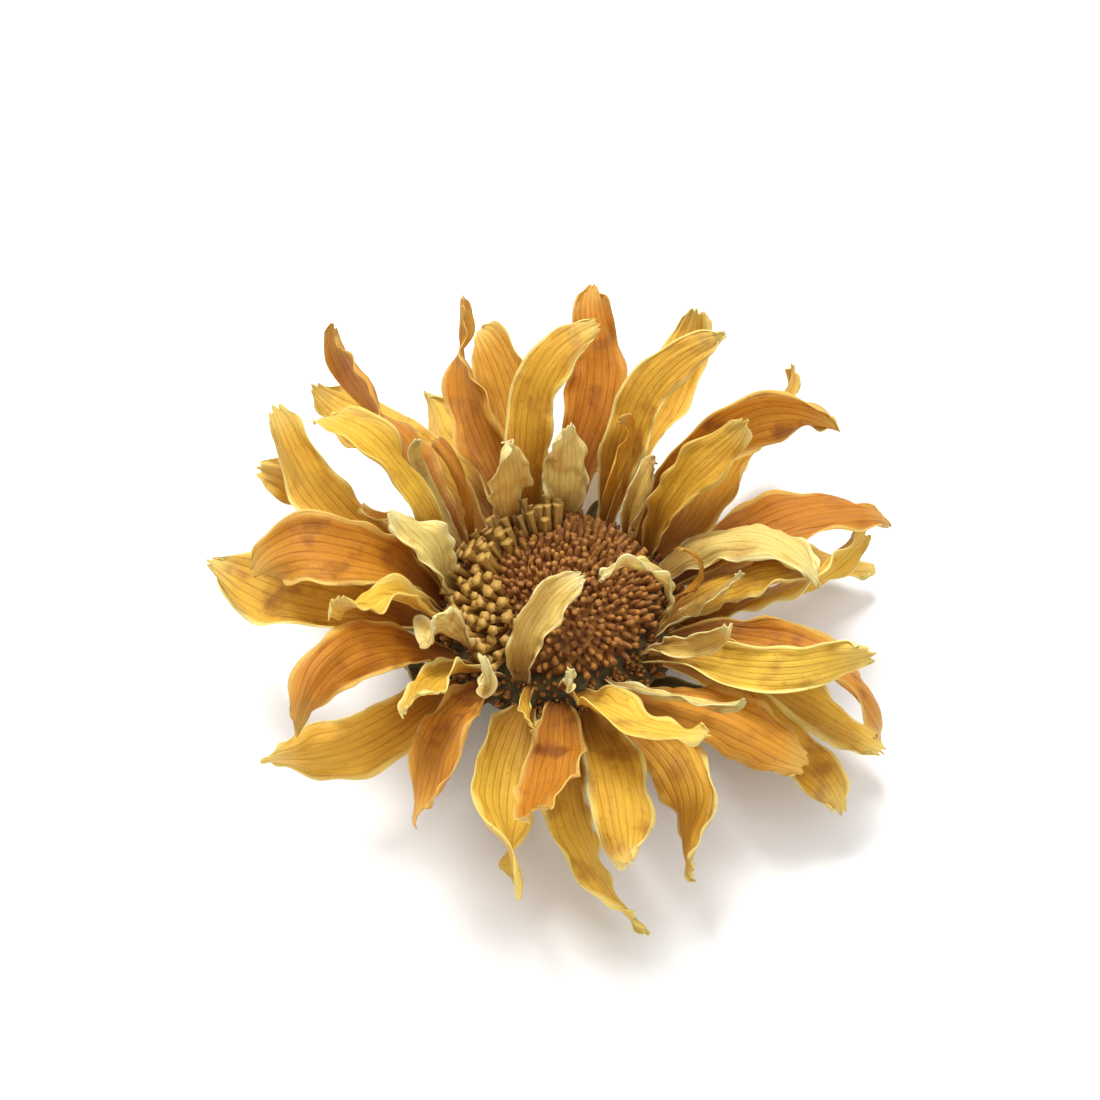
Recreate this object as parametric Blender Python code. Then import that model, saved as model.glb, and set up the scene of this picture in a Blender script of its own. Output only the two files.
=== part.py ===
"""A dried marigold flower head, plucked off its stem and resting on the flat underside of its cup.

The head is one receptacle with a granular mound of disc florets on top, narrow bracts round the
outside and strap-shaped ray petals in five rings. Each petal and bract is a thin curved strap of its
own. The straps are drawn one after another from a seeded generator, and a pose that would come
nearer than the clearance to anything already in place is drawn again, calmer each time.

Units are metres, +Z is up, and the origin is the centre of the flat face that the head rests on.
"""
import math
import random
from dataclasses import dataclass

import bmesh
import bpy
from mathutils import Matrix, Vector
from mathutils.bvhtree import BVHTree

MM = 0.001
CLEARANCE = 0.3 * MM

# Cup: (radius, height) down its outside, from the top slope that carries the petals to the base.
CUP_TOP_RADIUS = 7.2 * MM
CUP_TOP_HEIGHT = 6.6 * MM
CUP_RIM_RADIUS = 9.4 * MM
CUP_RIM_HEIGHT = 5.2 * MM
CUP_WAIST_RADIUS = 4.6 * MM
CUP_WAIST_HEIGHT = 1.1 * MM
CUP_BASE_RADIUS = 3.4 * MM
CUP_SEGMENTS = 32

# Disc: a mound of grains in spiral rows.
DISC_RADIUS = 6.8 * MM
DISC_HEIGHT = 3.6 * MM
DISC_COLUMNS = 20
DISC_ROWS = 6
GRAIN_INSET = 0.16 * MM
GRAIN_DEPTH = 0.35 * MM

# Straps: petals and bracts.
PETAL_THICKNESS = 0.3 * MM
BRACT_THICKNESS = 0.35 * MM
PETAL_ROWS = 11
BRACT_ROWS = 6
STRAP_COLUMNS = 3
SPINE_STEPS = 66
CURL_START = 0.55
WIDEST_AT = 0.58
SEAT = 0.47 * MM
LOWEST = 0.25 * MM
WIDEST_REACH = 26.5 * MM
HIGHEST = 20.0 * MM
POSE_TRIES = 80
SEED = 2

# The petals of the far side (+Y) stand higher than those of the near side, and all lean to +X.
LEAN_BACK = math.radians(13.0)
LEAN_SIDE = math.radians(30.0)


@dataclass(frozen=True)
class Ring:
    """One ring of straps: where it starts on the cup and how its straps run."""

    name: str
    material: str
    count: int
    phase: float
    along: float
    rise: float
    arch: float
    curl: tuple
    length: tuple
    width: tuple
    lean: float
    missing: tuple = ()


@dataclass(frozen=True)
class Strap:
    """One petal or bract: a strip that leaves its seat at a pitch and yaw and bends as it goes."""

    seat: Vector
    azimuth: float
    rise: float
    arch: float
    curl: float
    sweep: float
    sway: float
    ripple: float
    twist: float
    roll: float
    length: float
    width: float
    claw: float
    tip: float
    thickness: float
    rows: int


RINGS = (
    Ring("petal_low", "petal_gold", 10, 10.0, 0.04, 14.0, -54.0, (-10, 80), (16, 21), (3.8, 5.6), 0.2, (5,)),
    Ring("petal_spread", "petal_gold", 11, 28.0, 0.25, 30.0, -38.0, (-90, 110), (17, 22), (4.0, 5.8), 0.5, (6,)),
    Ring("petal_mid", "petal_orange", 11, 12.0, 0.48, 46.0, -40.0, (-110, 110), (17, 22), (3.8, 5.8), 0.8),
    Ring("petal_rise", "petal_gold", 9, 33.0, 0.72, 60.0, -34.0, (-120, 110), (15, 20), (3.4, 5.2), 1.2),
    Ring("petal_inner", "petal_straw", 8, 30.0, 0.95, 78.0, -4.0, (-70, 120), (10, 15), (2.6, 4.0), 1.7, (0, 5, 6, 7)),
)
BRACT_RING = Ring("bract", "bract_olive", 10, 6.0, 0.0, 41.0, -44.0, (-30, 50), (9, 12), (1.9, 2.7), 0.0)

# On the side where the lower rings have lost a petal the bracts are longer and turn up.
BARE_SIDE = math.radians(222.0)
BARE_ARCH = math.radians(36.0)
BARE_CURL = math.radians(60.0)
BARE_LENGTH = 2.5 * MM

MATERIALS = {
    "petal_gold": ((0.66, 0.36, 0.045), 0.62),
    "petal_orange": ((0.55, 0.24, 0.025), 0.62),
    "petal_straw": ((0.78, 0.62, 0.24), 0.68),
    "bract_olive": ((0.20, 0.17, 0.07), 0.80),
    "disc_brown": ((0.23, 0.075, 0.025), 0.85),
    "cup_green": ((0.25, 0.21, 0.09), 0.85),
}


def clear_scene():
    """Empties the scene of whatever it opened with."""
    for thing in list(bpy.data.objects):
        bpy.data.objects.remove(thing, do_unlink=True)


def make_materials():
    """Makes one Principled material for each finish and returns them by name."""
    made = {}
    for name, (colour, roughness) in MATERIALS.items():
        material = bpy.data.materials.new(name)
        material.use_nodes = True
        shader = material.node_tree.nodes["Principled BSDF"]
        shader.inputs["Base Color"].default_value = (*colour, 1.0)
        shader.inputs["Roughness"].default_value = roughness
        shader.inputs["Metallic"].default_value = 0.0
        made[name] = material
    return made


def add_object(name, bm, material, parent):
    """Turns a finished bmesh into a named, smooth-shaded object of the head."""
    bmesh.ops.recalc_face_normals(bm, faces=bm.faces[:])
    mesh = bpy.data.meshes.new(name)
    bm.to_mesh(mesh)
    bm.free()
    mesh.materials.append(material)
    mesh.shade_smooth()
    thing = bpy.data.objects.new(name, mesh)
    thing.parent = parent
    bpy.context.collection.objects.link(thing)
    return thing


def turned(profile, segments):
    """Spins a profile of (radius, height) pairs, both ends on the axis, about Z."""
    bm = bmesh.new()
    ring = [bm.verts.new((radius, 0.0, height)) for radius, height in profile]
    for lower, upper in zip(ring, ring[1:]):
        bm.edges.new((lower, upper))
    bmesh.ops.spin(
        bm,
        geom=bm.verts[:] + bm.edges[:],
        cent=(0.0, 0.0, 0.0),
        axis=(0.0, 0.0, 1.0),
        angle=math.tau,
        steps=segments,
        use_merge=True,
    )
    bmesh.ops.remove_doubles(bm, verts=bm.verts[:], dist=0.001 * MM)
    return bm


def build_cup():
    """The receptacle: a flat base, a flaring wall, a rim and a slope up to the seat of the disc."""
    profile = (
        (0.0, 0.0),
        (CUP_BASE_RADIUS, 0.0),
        (CUP_BASE_RADIUS + 0.5 * MM, 0.25 * MM),
        (CUP_WAIST_RADIUS, CUP_WAIST_HEIGHT),
        (CUP_RIM_RADIUS - 2.6 * MM, CUP_RIM_HEIGHT - 2.2 * MM),
        (CUP_RIM_RADIUS - 0.4 * MM, CUP_RIM_HEIGHT - 0.6 * MM),
        (CUP_RIM_RADIUS, CUP_RIM_HEIGHT),
        (CUP_TOP_RADIUS, CUP_TOP_HEIGHT),
        (0.0, CUP_TOP_HEIGHT),
    )
    return turned(profile, CUP_SEGMENTS)


def build_disc():
    """The disc florets: a dome whose rings are each turned half a column, with a grain on each face."""
    floor = CUP_TOP_HEIGHT + CLEARANCE
    profile = [(0.0, floor), (DISC_RADIUS, floor)]
    for row in range(1, DISC_ROWS):
        angle = 0.5 * math.pi * row / DISC_ROWS
        profile.append((DISC_RADIUS * math.cos(angle), floor + DISC_HEIGHT * math.sin(angle)))
    profile.append((0.0, floor + DISC_HEIGHT))
    bm = turned(profile, DISC_COLUMNS)
    for vertex in bm.verts:
        turn = 0.5 * math.tau / DISC_COLUMNS * DISC_ROWS * (vertex.co.z - floor) / DISC_HEIGHT
        vertex.co.rotate(Matrix.Rotation(turn, 3, "Z"))
    bmesh.ops.recalc_face_normals(bm, faces=bm.faces[:])
    dome = [face for face in bm.faces if face.normal.z > -0.5]
    bmesh.ops.inset_individual(bm, faces=dome, thickness=GRAIN_INSET, depth=GRAIN_DEPTH)
    return bm


def outline(strap, along):
    """Half width of a strap as a share of its full half width, at a fraction of its length."""
    if along < WIDEST_AT:
        share = math.sin(0.5 * math.pi * along / WIDEST_AT)
        return strap.claw + (1.0 - strap.claw) * share
    share = (along - WIDEST_AT) / (1.0 - WIDEST_AT)
    return 1.0 - (1.0 - strap.tip) * share**2.4


def heading(strap, along):
    """Pitch above the horizon and yaw about Z of the middle line at a fraction of its length."""
    end = max(0.0, (along - CURL_START) / (1.0 - CURL_START))
    wave = math.sin(math.tau * along) * along
    pitch = strap.rise + strap.arch * along + strap.curl * end**2 + strap.ripple * wave
    yaw = strap.azimuth + strap.sweep * along + strap.sway * wave
    return pitch, yaw


def frame_at(strap, along):
    """Direction, side and normal of the strap at a fraction of its length, with its twist."""
    pitch, yaw = heading(strap, along)
    forward = Vector(
        (math.cos(pitch) * math.cos(yaw), math.cos(pitch) * math.sin(yaw), math.sin(pitch))
    )
    side = Vector((-math.sin(yaw), math.cos(yaw), 0.0))
    side.rotate(Matrix.Rotation(strap.twist * along**1.3, 3, forward))
    return forward, side, forward.cross(side) * -1.0


def spine(strap):
    """Points of the middle line, one at the end of each of its equal steps."""
    step = strap.length / SPINE_STEPS
    points = [strap.seat.copy()]
    for index in range(SPINE_STEPS):
        forward = frame_at(strap, (index + 0.5) / SPINE_STEPS)[0]
        points.append(points[-1] + forward * step)
    return points


def strap_sheet(strap, extra=0.0):
    """The middle surface of a strap, as a grid bent along its spine, with extra width if asked."""
    bm = bmesh.new()
    bmesh.ops.create_grid(bm, x_segments=strap.rows, y_segments=STRAP_COLUMNS, size=1.0)
    points = spine(strap)
    for vertex in bm.verts:
        along = min(1.0, max(0.0, 0.5 * (vertex.co.x + 1.0)))
        across = vertex.co.y
        _, side, normal = frame_at(strap, along)
        half = 0.5 * strap.width * outline(strap, along) + extra
        bow = strap.roll * math.sin(math.pi * min(1.0, 0.15 + along))
        bow = bow if abs(bow) > 0.01 else 0.01
        offset = side * (half * math.sin(bow * across) / bow)
        offset = offset + normal * (half * (1.0 - math.cos(bow * across)) / bow)
        vertex.co = points[round(along * SPINE_STEPS)] + offset
    return bm


def thickened(bm, thickness):
    """Gives a sheet a thickness centred on it."""
    bm.normal_update()
    shifts = [(vertex, vertex.normal * (0.5 * thickness)) for vertex in bm.verts]
    for vertex, shift in shifts:
        vertex.co += shift
    bmesh.ops.solidify(bm, geom=bm.faces[:], thickness=thickness)
    return bm


def strap_solid(strap):
    """The closed body of a strap."""
    return thickened(strap_sheet(strap), strap.thickness)


def tree_of(bm):
    """A search tree over a body's faces."""
    return BVHTree.FromBMesh(bm)


def fits(strap, placed):
    """True if the strap stays in its space and keeps the clearance to every body in place."""
    sheet = strap_sheet(strap, CLEARANCE)
    for vertex in sheet.verts:
        too_low = vertex.co.z < LOWEST + 0.5 * strap.thickness
        too_far = vertex.co.xy.length > WIDEST_REACH
        if too_low or too_far or vertex.co.z > HIGHEST:
            sheet.free()
            return False
    guard = thickened(sheet, strap.thickness + 2.0 * CLEARANCE)
    tree = tree_of(guard)
    guard.free()
    return not any(tree.overlap(other) for other in placed)


def petal_seat(ring, azimuth):
    """A point just off the cup's top slope, at the ring's share of the way up it."""
    radius = CUP_RIM_RADIUS + (CUP_TOP_RADIUS - CUP_RIM_RADIUS) * ring.along
    height = CUP_RIM_HEIGHT + (CUP_TOP_HEIGHT - CUP_RIM_HEIGHT) * ring.along
    slope = Vector((CUP_TOP_HEIGHT - CUP_RIM_HEIGHT, CUP_RIM_RADIUS - CUP_TOP_RADIUS)).normalized()
    radius += SEAT * slope.x
    height += SEAT * slope.y
    return Vector((radius * math.cos(azimuth), radius * math.sin(azimuth), height))


def bract_seat(azimuth):
    """A point just off the cup's waist, on the outer side of its wall."""
    radius = CUP_WAIST_RADIUS + 0.80 * SEAT
    height = CUP_WAIST_HEIGHT - 0.92 * SEAT
    return Vector((radius * math.cos(azimuth), radius * math.sin(azimuth), height))


def draw_petal(ring, azimuth, wild, rng):
    """One petal of a ring; wild runs from 1, a free pose, down to 0, the ring's even pose."""
    back = math.sin(azimuth)
    spread = ring.lean * back
    rise = ring.rise + wild * rng.uniform(-12.0, 12.0)
    arch = ring.arch + wild * rng.uniform(-24.0, 24.0)
    sweep = wild * rng.uniform(-46.0, 46.0)
    return Strap(
        seat=petal_seat(ring, azimuth),
        azimuth=azimuth,
        rise=math.radians(rise) + LEAN_BACK * spread,
        arch=math.radians(arch),
        curl=math.radians(rng.uniform(*ring.curl)) * (0.25 + 0.75 * wild),
        sweep=math.radians(sweep) - LEAN_SIDE * spread,
        sway=math.radians(wild * rng.uniform(-34.0, 34.0)),
        ripple=math.radians(wild * rng.uniform(-30.0, 30.0)),
        twist=math.radians(wild * rng.choice((-1.0, 1.0)) * rng.uniform(5.0, 140.0)),
        roll=rng.choice((-1.0, -1.0, 1.0)) * rng.uniform(0.15, 1.65),
        length=rng.uniform(*ring.length) * MM * (0.75 + 0.25 * wild),
        width=rng.uniform(*ring.width) * MM * (0.80 + 0.20 * wild),
        claw=0.3,
        tip=rng.choice((0.16, 0.32, 0.46)),
        thickness=PETAL_THICKNESS,
        rows=PETAL_ROWS,
    )


def posed_petals():
    """The three petals that curl over the disc, each with its own fixed pose."""
    crown = RINGS[-1]
    even = {"claw": 0.3, "thickness": PETAL_THICKNESS, "rows": PETAL_ROWS}
    across = math.radians(250.0)
    loop = math.radians(342.0)
    folded = math.radians(16.0)
    return {
        "petal_across": Strap(
            petal_seat(crown, across), across, math.radians(84.0), math.radians(98.0), 0.0,
            math.radians(-40.0), 0.0, 0.0, math.radians(24.0), 0.9, 10.5 * MM, 3.2 * MM, tip=0.3, **even
        ),
        "petal_loop": Strap(
            petal_seat(crown, loop), loop, math.radians(60.0), math.radians(110.0), math.radians(100.0),
            math.radians(40.0), 0.0, 0.0, math.radians(40.0), 0.5, 12.5 * MM, 1.3 * MM, tip=0.5, **even
        ),
        "petal_folded": Strap(
            petal_seat(crown, folded), folded, math.radians(62.0), math.radians(-62.0), math.radians(-40.0),
            math.radians(-80.0), 0.0, 0.0, math.radians(-30.0), 0.7, 17.0 * MM, 4.4 * MM, tip=0.16, **even
        ),
    }


def draw_bract(ring, azimuth, wild, rng):
    """One bract: it hugs the cup's wall, then turns out, or up on the bare side."""
    bare = max(0.0, math.cos(azimuth - BARE_SIDE)) ** 2
    return Strap(
        seat=bract_seat(azimuth),
        azimuth=azimuth,
        rise=math.radians(ring.rise),
        arch=math.radians(ring.arch + wild * rng.uniform(-12.0, 12.0)) + BARE_ARCH * bare,
        curl=math.radians(rng.uniform(*ring.curl)) * wild + BARE_CURL * bare,
        sweep=math.radians(wild * rng.uniform(-24.0, 24.0)),
        sway=math.radians(wild * rng.uniform(-12.0, 12.0)),
        ripple=0.0,
        twist=math.radians(wild * rng.uniform(-30.0, 30.0)),
        roll=-rng.uniform(0.15, 0.6),
        length=rng.uniform(*ring.length) * MM + BARE_LENGTH * bare,
        width=rng.uniform(*ring.width) * MM,
        claw=0.55,
        tip=0.16,
        thickness=BRACT_THICKNESS,
        rows=BRACT_ROWS,
    )


def place_strap(ring, index, placed, rng):
    """The first drawn pose that fits."""
    draw = draw_bract if ring is BRACT_RING else draw_petal
    slot = math.tau / ring.count
    for attempt in range(POSE_TRIES):
        wild = 1.0 - attempt / (POSE_TRIES - 1)
        stray = wild * rng.uniform(-0.3, 0.3)
        azimuth = math.radians(ring.phase) + slot * (index + stray)
        strap = draw(ring, azimuth, wild, rng)
        if fits(strap, placed):
            return strap
    raise ValueError(f"no pose of {ring.name} {index + 1} fits")


def add_strap(name, strap, placed, material, parent):
    """Adds a strap's body as an object and to the bodies in place."""
    body = strap_solid(strap)
    placed.append(tree_of(body))
    add_object(name, body, material, parent)


def build_ring(ring, placed, materials, parent, rng):
    """Builds the straps of one ring and adds their bodies to those in place."""
    for index in range(ring.count):
        if index in ring.missing:
            continue
        strap = place_strap(ring, index, placed, rng)
        add_strap(f"{ring.name}_{index + 1:02d}", strap, placed, materials[ring.material], parent)


def build_head():
    """Builds the whole flower head under one parent at the origin."""
    clear_scene()
    materials = make_materials()
    head = bpy.data.objects.new("flower_head", None)
    bpy.context.collection.objects.link(head)
    rng = random.Random(SEED)
    placed = []
    for name, body, finish in (
        ("receptacle", build_cup(), "cup_green"),
        ("disc_florets", build_disc(), "disc_brown"),
    ):
        placed.append(tree_of(body))
        add_object(name, body, materials[finish], head)
    for name, strap in posed_petals().items():
        add_strap(name, strap, placed, materials["petal_straw"], head)
    for ring in (BRACT_RING, *RINGS):
        build_ring(ring, placed, materials, head, rng)


build_head()
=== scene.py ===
"""The dried marigold flower head: every CAD node is replaced by a finely modelled, dressed piece."""
import logging
import math
import random
from dataclasses import dataclass, field
from enum import Enum

import bmesh
import bpy
from mathutils import Matrix, Vector, noise
from mathutils.bvhtree import BVHTree


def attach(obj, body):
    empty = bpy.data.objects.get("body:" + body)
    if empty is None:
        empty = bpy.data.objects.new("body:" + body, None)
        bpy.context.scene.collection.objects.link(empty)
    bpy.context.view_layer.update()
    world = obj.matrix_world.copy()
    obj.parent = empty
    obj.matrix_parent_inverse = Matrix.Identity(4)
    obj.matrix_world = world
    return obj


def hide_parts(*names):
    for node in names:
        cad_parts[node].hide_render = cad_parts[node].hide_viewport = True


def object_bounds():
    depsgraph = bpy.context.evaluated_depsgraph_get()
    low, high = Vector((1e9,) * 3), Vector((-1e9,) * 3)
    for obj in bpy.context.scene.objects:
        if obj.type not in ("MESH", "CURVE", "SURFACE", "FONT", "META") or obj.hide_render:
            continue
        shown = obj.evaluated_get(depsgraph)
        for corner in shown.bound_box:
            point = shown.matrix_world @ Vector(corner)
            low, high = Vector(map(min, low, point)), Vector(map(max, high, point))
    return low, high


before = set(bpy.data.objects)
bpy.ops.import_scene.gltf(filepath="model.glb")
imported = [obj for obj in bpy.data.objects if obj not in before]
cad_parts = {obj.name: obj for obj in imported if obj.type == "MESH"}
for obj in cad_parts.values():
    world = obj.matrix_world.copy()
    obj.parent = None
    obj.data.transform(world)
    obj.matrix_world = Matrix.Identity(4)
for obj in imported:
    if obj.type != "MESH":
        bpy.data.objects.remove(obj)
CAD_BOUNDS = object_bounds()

LOG = logging.getLogger("flower_head")

MM = 0.001
CLEARANCE = 0.3 * MM
CUP_TOP_RADIUS = 7.2 * MM
CUP_TOP_HEIGHT = 6.6 * MM
CUP_RIM_RADIUS = 9.4 * MM
CUP_RIM_HEIGHT = 5.2 * MM
CUP_WAIST_RADIUS = 4.6 * MM
CUP_WAIST_HEIGHT = 1.1 * MM
CUP_BASE_RADIUS = 3.4 * MM
CUP_SEGMENTS = 32
DISC_RADIUS = 6.8 * MM
DISC_HEIGHT = 3.6 * MM
DISC_COLUMNS = 20
DISC_ROWS = 6
GRAIN_INSET = 0.16 * MM
GRAIN_DEPTH = 0.35 * MM
PETAL_THICKNESS = 0.3 * MM
BRACT_THICKNESS = 0.35 * MM
PETAL_ROWS = 11
BRACT_ROWS = 6
STRAP_COLUMNS = 3
SPINE_STEPS = 66
CURL_START = 0.55
WIDEST_AT = 0.58
SEAT = 0.47 * MM
LOWEST = 0.25 * MM
WIDEST_REACH = 26.5 * MM
HIGHEST = 20.0 * MM
POSE_TRIES = 80
SEED = 2
LEAN_BACK = math.radians(13.0)
LEAN_SIDE = math.radians(30.0)
BARE_SIDE = math.radians(222.0)
BARE_ARCH = math.radians(36.0)
BARE_CURL = math.radians(60.0)
BARE_LENGTH = 2.5 * MM


class Slot(Enum):
    """The record's material slots."""

    GOLD = "petal_gold"
    ORANGE = "petal_orange"
    STRAW = "petal_straw"
    BRACT = "bract_olive"
    DISC = "disc_brown"
    CUP = "cup_green"


@dataclass(frozen=True)
class Ring:
    """One ring of straps: where it starts on the cup and how its straps run."""

    name: str
    slot: Slot
    count: int
    phase: float
    along: float
    rise: float
    arch: float
    curl: tuple[float, float]
    length: tuple[float, float]
    width: tuple[float, float]
    lean: float
    missing: tuple[int, ...] = ()


@dataclass(frozen=True)
class Strap:
    """One petal or bract: a strip that leaves its seat at a pitch and yaw and bends as it goes."""

    seat: Vector
    azimuth: float
    rise: float
    arch: float
    curl: float
    sweep: float
    sway: float
    ripple: float
    twist: float
    roll: float
    length: float
    width: float
    claw: float
    tip: float
    thickness: float
    rows: int


RINGS = (
    Ring("petal_low", Slot.GOLD, 10, 10.0, 0.04, 14.0, -54.0, (-10, 80), (16, 21), (3.8, 5.6), 0.2, (5,)),
    Ring("petal_spread", Slot.GOLD, 11, 28.0, 0.25, 30.0, -38.0, (-90, 110), (17, 22), (4.0, 5.8), 0.5,
         (6,)),
    Ring("petal_mid", Slot.ORANGE, 11, 12.0, 0.48, 46.0, -40.0, (-110, 110), (17, 22), (3.8, 5.8), 0.8),
    Ring("petal_rise", Slot.GOLD, 9, 33.0, 0.72, 60.0, -34.0, (-120, 110), (15, 20), (3.4, 5.2), 1.2),
    Ring("petal_inner", Slot.STRAW, 8, 30.0, 0.95, 78.0, -4.0, (-70, 120), (10, 15), (2.6, 4.0), 1.7,
         (0, 5, 6, 7)),
)
WISP_RING = Ring("wisp", Slot.STRAW, 20, 4.0, 0.90, 66.0, -34.0, (-150, 150), (9, 15), (0.8, 1.8), 1.3)
WISP_CLEARANCE = 0.12 * MM
WISP_TRIES = 60
GOLDEN_ANGLE = math.pi * (3.0 - math.sqrt(5.0))
OPEN_SIDE = math.radians(165.0)
MOUND_SPREAD = 0.97
MOUND_RISE = 0.82
MOUND_ROWS = 12
MOUND_SEGMENTS = 48
LIGHT_DISTANCE = 0.6
BRACT_RING = Ring("bract", Slot.BRACT, 10, 6.0, 0.0, 41.0, -44.0, (-30, 50), (9, 12), (1.9, 2.7), 0.0)


def turned(profile: list[tuple[float, float]], segments: int) -> bmesh.types.BMesh:
    """Spins a profile about Z.

    Args:
        profile: (radius, height) pairs with both ends on the axis.
        segments: number of steps of the full turn.

    Returns:
        The closed turned body.
    """
    bm = bmesh.new()
    ring = [bm.verts.new((radius, 0.0, height)) for radius, height in profile]
    for lower, upper in zip(ring, ring[1:]):
        bm.edges.new((lower, upper))
    bmesh.ops.spin(
        bm,
        geom=bm.verts[:] + bm.edges[:],
        cent=(0.0, 0.0, 0.0),
        axis=(0.0, 0.0, 1.0),
        angle=math.tau,
        steps=segments,
        use_merge=True,
    )
    bmesh.ops.remove_doubles(bm, verts=bm.verts[:], dist=0.001 * MM)
    return bm


def plain_cup() -> bmesh.types.BMesh:
    """Turns the cup without its wrinkles.

    Returns:
        The plain cup, which the straps keep clear of.
    """
    profile = [
        (0.0, 0.0),
        (CUP_BASE_RADIUS, 0.0),
        (CUP_BASE_RADIUS + 0.5 * MM, 0.25 * MM),
        (CUP_WAIST_RADIUS, CUP_WAIST_HEIGHT),
        (CUP_RIM_RADIUS - 2.6 * MM, CUP_RIM_HEIGHT - 2.2 * MM),
        (CUP_RIM_RADIUS - 0.4 * MM, CUP_RIM_HEIGHT - 0.6 * MM),
        (CUP_RIM_RADIUS, CUP_RIM_HEIGHT),
        (CUP_TOP_RADIUS, CUP_TOP_HEIGHT),
        (0.0, CUP_TOP_HEIGHT),
    ]
    return turned(profile, CUP_SEGMENTS)


def plain_disc() -> bmesh.types.BMesh:
    """Turns the mound and raises one grain from each of its faces.

    Returns:
        The plain mound, which the straps keep clear of.
    """
    floor = CUP_TOP_HEIGHT + CLEARANCE
    profile = [(0.0, floor), (DISC_RADIUS, floor)]
    for row in range(1, DISC_ROWS):
        angle = 0.5 * math.pi * row / DISC_ROWS
        profile.append((DISC_RADIUS * math.cos(angle), floor + DISC_HEIGHT * math.sin(angle)))
    profile.append((0.0, floor + DISC_HEIGHT))
    bm = turned(profile, DISC_COLUMNS)
    for vertex in bm.verts:
        turn = 0.5 * math.tau / DISC_COLUMNS * DISC_ROWS * (vertex.co.z - floor) / DISC_HEIGHT
        vertex.co.rotate(Matrix.Rotation(turn, 3, "Z"))
    bmesh.ops.recalc_face_normals(bm, faces=bm.faces[:])
    dome = [face for face in bm.faces if face.normal.z > -0.5]
    bmesh.ops.inset_individual(bm, faces=dome, thickness=GRAIN_INSET, depth=GRAIN_DEPTH)
    return bm


def outline(strap: Strap, along: float) -> float:
    """Shapes a strap's edge: narrow at the claw, widest past the middle, drawn in at the tip.

    Args:
        strap: the strap.
        along: fraction of its length.

    Returns:
        Its half width there, as a share of its full half width.
    """
    if along < WIDEST_AT:
        share = math.sin(0.5 * math.pi * along / WIDEST_AT)
        return strap.claw + (1.0 - strap.claw) * share
    share = (along - WIDEST_AT) / (1.0 - WIDEST_AT)
    return 1.0 - (1.0 - strap.tip) * share**2.4


def frame_at(strap: Strap, along: float) -> tuple[Vector, Vector, Vector]:
    """Finds which way a strap runs, with its twist.

    Args:
        strap: the strap.
        along: fraction of its length.

    Returns:
        Its direction, side and normal there.
    """
    end = max(0.0, (along - CURL_START) / (1.0 - CURL_START))
    wave = math.sin(math.tau * along) * along
    pitch = strap.rise + strap.arch * along + strap.curl * end**2 + strap.ripple * wave
    yaw = strap.azimuth + strap.sweep * along + strap.sway * wave
    forward = Vector(
        (math.cos(pitch) * math.cos(yaw), math.cos(pitch) * math.sin(yaw), math.sin(pitch))
    )
    side = Vector((-math.sin(yaw), math.cos(yaw), 0.0))
    side.rotate(Matrix.Rotation(strap.twist * along**1.3, 3, forward))
    return forward, side, forward.cross(side) * -1.0


def spine(strap: Strap) -> list[Vector]:
    """Follows a strap's middle line.

    Args:
        strap: the strap.

    Returns:
        Its seat and the end of each of its equal steps.
    """
    step = strap.length / SPINE_STEPS
    points = [strap.seat.copy()]
    for index in range(SPINE_STEPS):
        forward = frame_at(strap, (index + 0.5) / SPINE_STEPS)[0]
        points.append(points[-1] + forward * step)
    return points


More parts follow.
